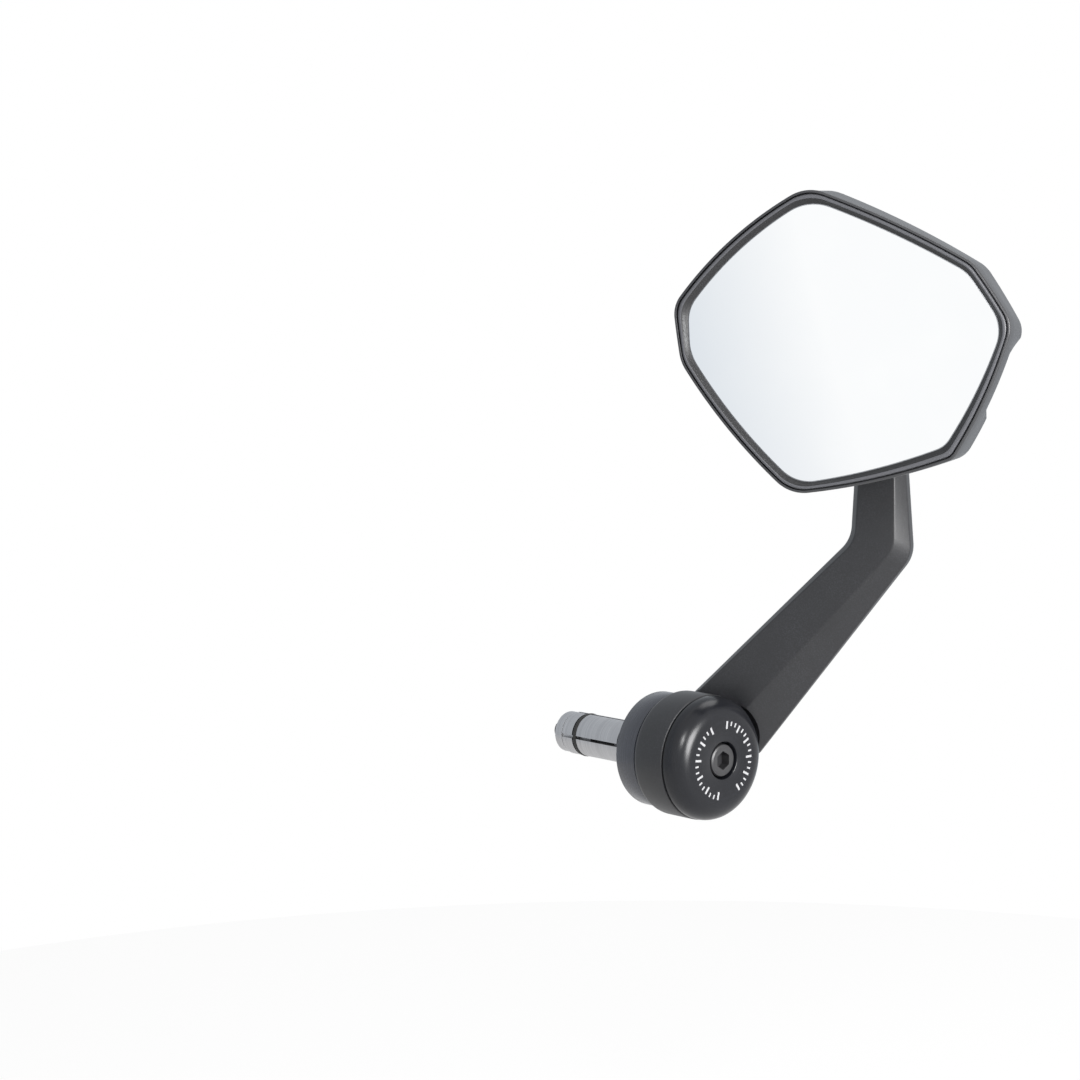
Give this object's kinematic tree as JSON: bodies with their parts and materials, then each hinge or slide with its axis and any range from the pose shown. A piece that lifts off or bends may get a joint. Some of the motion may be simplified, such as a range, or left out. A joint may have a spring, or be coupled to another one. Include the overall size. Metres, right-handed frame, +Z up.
{
  "type": "motorcycle bar end mirror",
  "caption": "Round bar end hub with a cranked flat arm that carries an angular convex mirror head on a ball joint.",
  "frame": {"origin": "on the bar axis, in the face of the spacer ring that meets the bar end", "axes": "+X outboard along the bar axis, +Y forward, +Z up"},
  "size_m": [0.1625, 0.0628, 0.1905],
  "materials": {
    "cap_black": "satin black anodised, turned",
    "ring_black": "satin black anodised, turned",
    "arm_black": "fine satin black powder coat",
    "steel": "zinc plated steel",
    "insert_metal": "as-machined aluminium",
    "washer_nylon": "black nylon",
    "liner_nylon": "natural nylon",
    "o_ring_rubber": "black rubber",
    "housing_black": "satin black moulded plastic, fine texture",
    "bezel_black": "satin black moulded plastic",
    "mirror_face": "silvered convex glass",
    "carrier_plastic": "plain moulded plastic",
    "foam": "closed-cell adhesive foam"
  },
  "bodies": {
    "bar_end": {"spacer_ring": "ring_black", "friction_washer_1": "washer_nylon", "friction_washer_2": "washer_nylon", "end_cap": "cap_black", "cap_washer": "steel", "cap_screw": "steel", "wedge_outer": "insert_metal", "wedge_inner": "insert_metal", "expander_jaw_1": "insert_metal", "expander_jaw_2": "insert_metal", "expander_jaw_3": "insert_metal", "expander_jaw_4": "insert_metal", "o_ring_1": "o_ring_rubber", "o_ring_2": "o_ring_rubber"},
    "arm": {"mirror_arm": "arm_black", "hub_bush": "washer_nylon", "ball_stud": "steel", "joint_ball": "steel", "lock_nut": "steel", "stud_screw": "steel", "stud_washer": "steel"},
    "liner": {"ball_liner": "liner_nylon"},
    "head": {"mirror_housing": "housing_black", "socket_cup": "housing_black", "socket_plate": "insert_metal", "plate_screws": "steel", "bezel": "bezel_black", "mirror_glass": "mirror_face", "adhesive_pad": "foam", "glass_carrier": "carrier_plastic", "carrier_screws": "steel"}
  },
  "joints": [
    {"name": "arm_swivel", "type": "hinge", "parent": "bar_end", "child": "arm", "pos_m": [0, 0, 0], "axis": [1, 0, 0], "continuous": true},
    {"name": "head_pan", "type": "hinge", "parent": "arm", "child": "liner", "pos_m": [0.06749, 0.01716, 0.108], "axis": [0, 0, 1], "range_deg": [-15, 15]},
    {"name": "head_tilt", "type": "hinge", "parent": "liner", "child": "head", "pos_m": [0.06749, 0.01716, 0.108], "axis": [0.9063, 0.4226, 0], "range_deg": [-15, 15]}
  ]
}
